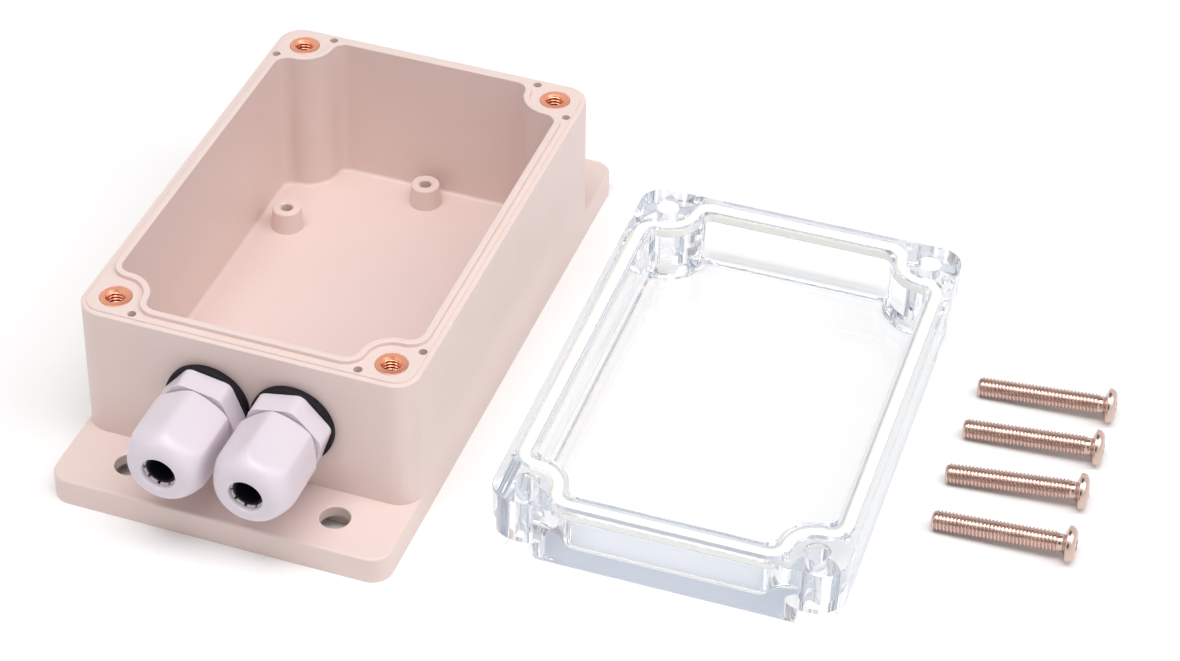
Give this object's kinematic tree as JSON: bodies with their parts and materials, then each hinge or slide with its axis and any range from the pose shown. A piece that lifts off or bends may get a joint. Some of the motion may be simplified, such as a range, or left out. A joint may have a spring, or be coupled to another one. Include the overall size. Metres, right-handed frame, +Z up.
{
  "type": "waterproof enclosure",
  "caption": "Rectangular sealed box with mounting ears and cable glands; its clear lid with sealing cord lies upside down beside it with the lid screws.",
  "frame": {"origin": "middle of the flat mounting face of the box", "axes": "+X across the box towards its lid, +Y along the box away from the cable glands, +Z up, out of the mounting face"},
  "size_m": [0.1874, 0.1391, 0.0361],
  "materials": {
    "box_plastic": "satin moulded",
    "gland_plastic": "satin moulded",
    "lid_plastic": "clear polished",
    "gland_rubber": "matt",
    "sealing_cord": "matt",
    "insert_metal": "turned",
    "screw_metal": "bright"
  },
  "bodies": {
    "box": {"base_box": "box_plastic", "insert_front_left": "insert_metal", "insert_front_right": "insert_metal", "insert_back_left": "insert_metal", "insert_back_right": "insert_metal", "lid_screw_1": "screw_metal", "lid_screw_2": "screw_metal", "lid_screw_3": "screw_metal", "lid_screw_4": "screw_metal", "gland_body_left": "gland_plastic", "gland_washer_left": "gland_rubber", "gland_locknut_left": "gland_plastic", "gland_body_right": "gland_plastic", "gland_washer_right": "gland_rubber", "gland_locknut_right": "gland_plastic"},
    "lid": {"lid": "lid_plastic", "lid_gasket": "sealing_cord"},
    "gland_grip_left": {"gland_claw_left": "gland_plastic", "gland_seal_left": "gland_rubber"},
    "gland_nut_left": {"gland_nut_left": "gland_plastic"},
    "gland_grip_right": {"gland_claw_right": "gland_plastic", "gland_seal_right": "gland_rubber"},
    "gland_nut_right": {"gland_nut_right": "gland_plastic"}
  },
  "joints": [
    {"name": "lid_lift", "type": "slide", "parent": "box", "child": "lid", "axis": [0, 0, 1], "range_m": [0, 0.06]},
    {"name": "nut_travel_left", "type": "slide", "parent": "box", "child": "gland_grip_left", "axis": [0, -1, 0], "range_m": [0, 0.0045]},
    {"name": "nut_turn_left", "type": "hinge", "parent": "gland_grip_left", "child": "gland_nut_left", "pos_m": [-0.00683, -0.06535, 0.0208], "axis": [0, -1, 0], "range_deg": [0, 1080]},
    {"name": "nut_travel_right", "type": "slide", "parent": "box", "child": "gland_grip_right", "axis": [0, -1, 0], "range_m": [0, 0.0045]},
    {"name": "nut_turn_right", "type": "hinge", "parent": "gland_grip_right", "child": "gland_nut_right", "pos_m": [0.01042, -0.06535, 0.0208], "axis": [0, -1, 0], "range_deg": [0, 1080]}
  ],
  "couplings": [
    {"joint": "nut_travel_left", "follows": "nut_turn_left", "m_per_rad": 0.00023873},
    {"joint": "nut_travel_right", "follows": "nut_turn_right", "m_per_rad": 0.00023873}
  ]
}
